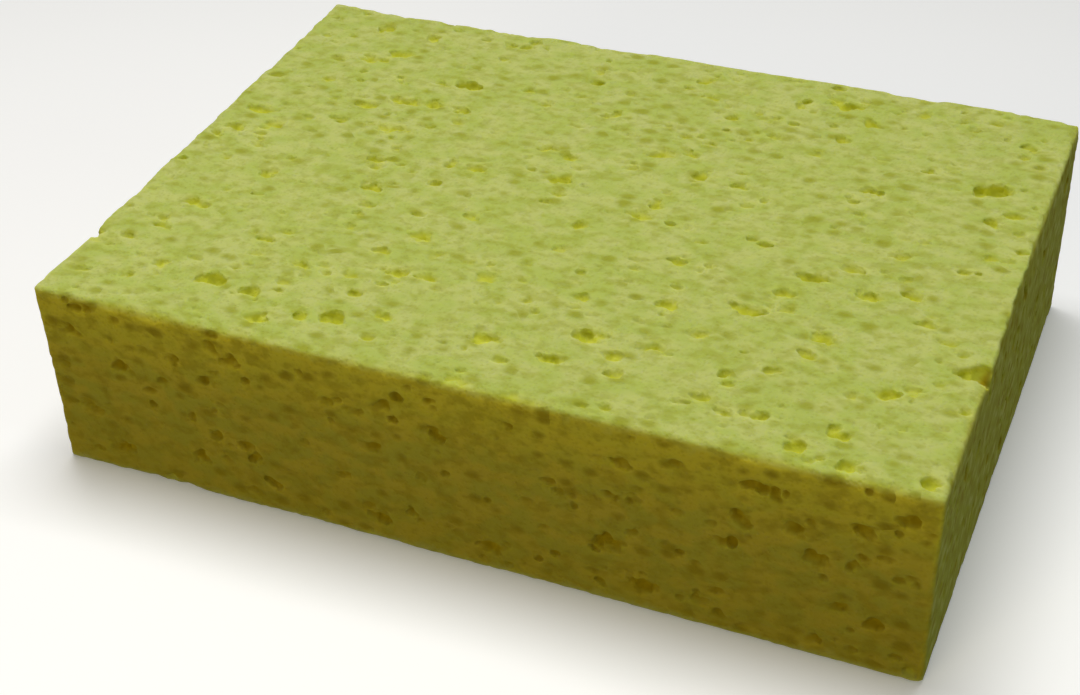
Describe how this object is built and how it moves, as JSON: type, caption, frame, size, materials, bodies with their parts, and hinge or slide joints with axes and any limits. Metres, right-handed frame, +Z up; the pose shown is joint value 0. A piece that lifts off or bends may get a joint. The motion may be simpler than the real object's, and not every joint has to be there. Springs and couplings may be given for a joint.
{
  "type": "cleaning sponge",
  "caption": "Rectangular block of open-pored yellow cellulose for wiping and washing by hand, sawn flat on every side.",
  "frame": {"origin": "middle of the flat bottom face, on the surface that the sponge rests on", "axes": "+X along the length and the grain of the pores, +Y from the front face to the back face, +Z up through the thickness"},
  "size_m": [0.152, 0.107, 0.04],
  "materials": {
    "cellulose": "matt, dry and porous"
  },
  "bodies": {
    "root": {"sponge": "cellulose"}
  },
  "joints": []
}
